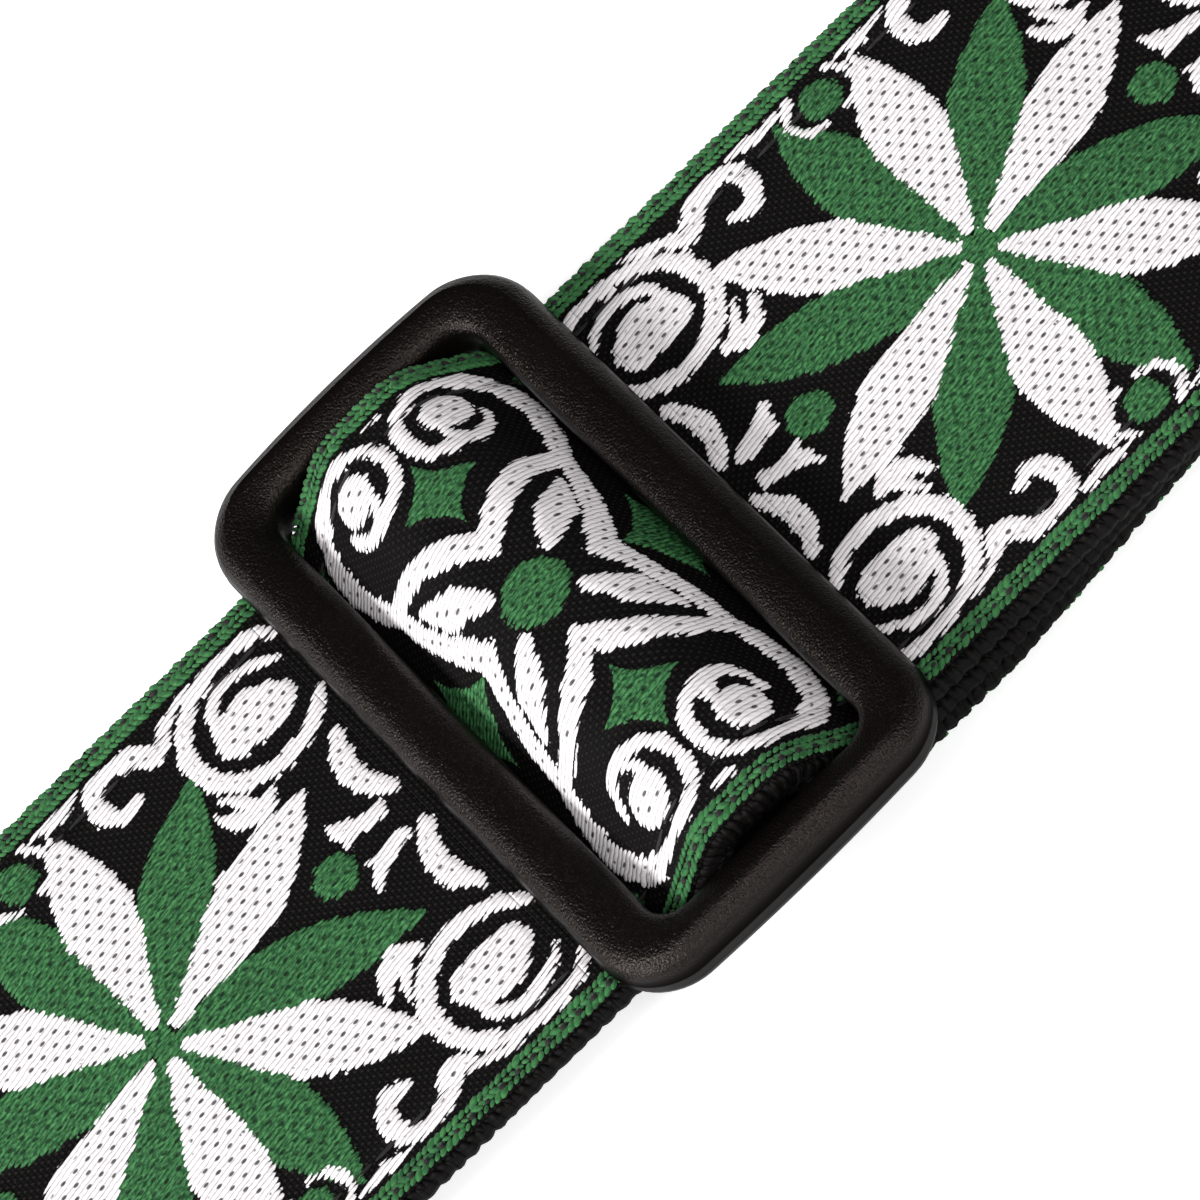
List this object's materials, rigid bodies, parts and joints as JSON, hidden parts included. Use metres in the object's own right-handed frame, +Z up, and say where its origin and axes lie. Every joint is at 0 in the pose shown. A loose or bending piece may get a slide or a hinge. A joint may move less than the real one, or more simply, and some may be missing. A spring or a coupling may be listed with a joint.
{
  "type": "guitar strap",
  "caption": "Adjustable woven guitar strap with a jacquard ribbon on webbing, a tri-glide slider, a rectangular ring and leather ends with strap-button holes.",
  "frame": {"origin": "bottom centre of the whole strap's box, as it lies flat with its decorative side up", "axes": "+X along the strap from end A through the slider to end B, +Y across it, +Z up, out of the decorative side"},
  "size_m": [1.144, 0.063, 0.0139],
  "materials": {
    "webbing": "black woven webbing",
    "jacquard": "jacquard weave in green, white and black",
    "slider_plastic": "fine-grained moulded plastic",
    "ring_plastic": "fine-grained moulded plastic",
    "leather": "black grained leather",
    "thread": "black sewing thread"
  },
  "bodies": {
    "main_strap": {"webbing_single_run": "webbing", "ribbon_single_run": "jacquard", "webbing_single_feed": "webbing", "ribbon_single_feed": "jacquard", "end_a_sleeve_front": "leather", "end_a_sleeve_back": "leather", "end_a_flex": "leather", "end_a_stitching": "thread"},
    "slider": {"slider": "slider_plastic", "webbing_over_bar": "webbing", "ribbon_over_bar": "jacquard", "webbing_top_run": "webbing", "ribbon_top_run": "jacquard", "webbing_top_feed": "webbing", "ribbon_top_feed": "jacquard", "webbing_return_feed": "webbing", "ribbon_return_feed": "jacquard", "webbing_return_run": "webbing", "ribbon_return_run": "jacquard", "webbing_bar_loop": "webbing", "ribbon_bar_loop": "jacquard", "bar_loop_stitching": "thread"},
    "fold": {"webbing_ring_fold": "webbing", "ribbon_ring_fold": "jacquard"},
    "ring": {"ring": "ring_plastic"},
    "end_b": {"webbing_end_b": "webbing", "ribbon_end_b": "jacquard", "end_b_sleeve_front": "leather", "end_b_sleeve_back": "leather", "end_b_flex": "leather", "end_b_stitching": "thread"},
    "end_a_tab": {"end_a_tab_front": "leather", "end_a_tab_back": "leather"},
    "end_b_tab": {"end_b_tab_front": "leather", "end_b_tab_back": "leather"}
  },
  "joints": [
    {"name": "slider_slide", "type": "slide", "parent": "main_strap", "child": "slider", "axis": [1, 0, 0], "range_m": [-0.15, 0.15], "deforming": ["webbing_single_feed", "ribbon_single_feed"]},
    {"name": "fold_follow", "type": "slide", "parent": "slider", "child": "fold", "axis": [1, 0, 0], "range_m": [-0.075, 0.075], "deforming": ["webbing_top_feed", "ribbon_top_feed", "webbing_return_feed", "ribbon_return_feed"]},
    {"name": "ring_swing", "type": "hinge", "parent": "fold", "child": "ring", "pos_m": [0.413, 0, 0.005], "axis": [0, -1, 0], "range_deg": [-75, 75]},
    {"name": "end_b_swing", "type": "hinge", "parent": "ring", "child": "end_b", "pos_m": [0.429, 0, 0.005], "axis": [0, -1, 0], "range_deg": [-75, 75]},
    {"name": "end_a_flex", "type": "hinge", "parent": "main_strap", "child": "end_a_tab", "pos_m": [-0.509, 0, 0.0022], "axis": [0, 1, 0], "range_deg": [-40, 40], "stiffness_Nm_per_rad": 0.03, "deforming": ["end_a_flex"]},
    {"name": "end_b_flex", "type": "hinge", "parent": "end_b", "child": "end_b_tab", "pos_m": [0.509, 0, 0.0022], "axis": [0, -1, 0], "range_deg": [-40, 40], "stiffness_Nm_per_rad": 0.03, "deforming": ["end_b_flex"]}
  ],
  "couplings": [
    {"joint": "fold_follow", "follows": "slider_slide", "ratio": -0.5}
  ]
}
